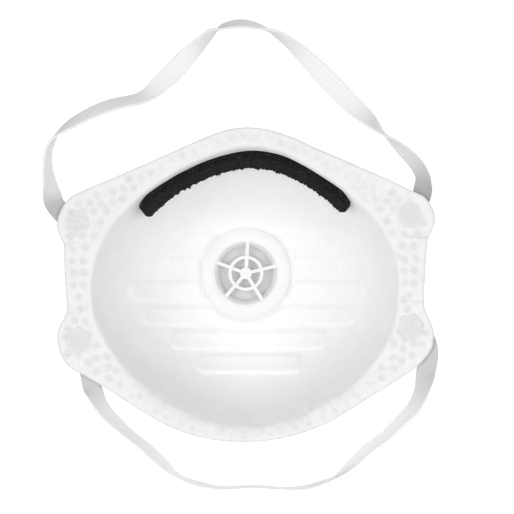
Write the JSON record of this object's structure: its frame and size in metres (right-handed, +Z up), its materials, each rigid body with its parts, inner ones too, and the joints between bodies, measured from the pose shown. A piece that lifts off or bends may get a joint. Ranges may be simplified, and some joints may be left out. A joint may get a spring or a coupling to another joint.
{
  "type": "disposable dust mask",
  "caption": "Cup-shaped disposable dust mask with a flat sealing flange, nose foam, exhalation valve and two elastic head straps.",
  "frame": {"origin": "on the wearer's face of the sealing flange, on the centreline, at the bridge of the nose", "axes": "+Z up as worn, +X to the wearer's right as seen from the wearer's side, +Y away from the face, through the valve"},
  "size_m": [0.1587, 0.062, 0.1888],
  "materials": {
    "inner_web": "soft white nonwoven web, welded flat at the flange",
    "filter_web": "matte white melt-blown web",
    "felt_shell": "needle-punched white felt",
    "outer_web": "white spunbond web with fine emboss",
    "tape": "thin double-sided tape",
    "foam": "black open-cell foam",
    "clip_metal": "satin soft aluminium strip",
    "valve_plastic": "white semi-gloss moulding",
    "diaphragm_rubber": "smooth pale grey silicone",
    "elastic": "white flat woven elastic with lengthwise cords"
  },
  "bodies": {
    "mask_body": {"inner_lining": "inner_web", "filter_media": "filter_web", "support_shell": "felt_shell", "outer_cover": "outer_web", "nose_foam_tape": "tape", "nose_foam": "foam", "nose_clip_tape": "tape", "nose_clip": "clip_metal", "valve_seat": "valve_plastic", "valve_cover": "valve_plastic", "upper_strap_end_left": "elastic", "upper_strap_end_right": "elastic", "lower_strap_end_left": "elastic", "lower_strap_end_right": "elastic"},
    "upper_strap": {"upper_strap_loop": "elastic"},
    "lower_strap": {"lower_strap_loop": "elastic"},
    "diaphragm": {"valve_diaphragm": "diaphragm_rubber"}
  },
  "joints": [
    {"name": "upper_strap_swing", "type": "hinge", "parent": "mask_body", "child": "upper_strap", "pos_m": [0, 0.00205, -0.02265], "axis": [0.9995, 0, 0.0317], "range_deg": [-90, 90]},
    {"name": "lower_strap_swing", "type": "hinge", "parent": "mask_body", "child": "lower_strap", "pos_m": [0, 0.00205, -0.09776], "axis": [0.9988, 0, 0.0494], "range_deg": [-90, 70]},
    {"name": "diaphragm_lift", "type": "slide", "parent": "mask_body", "child": "diaphragm", "axis": [0, 1, 0], "range_m": [0, 0.002]}
  ]
}
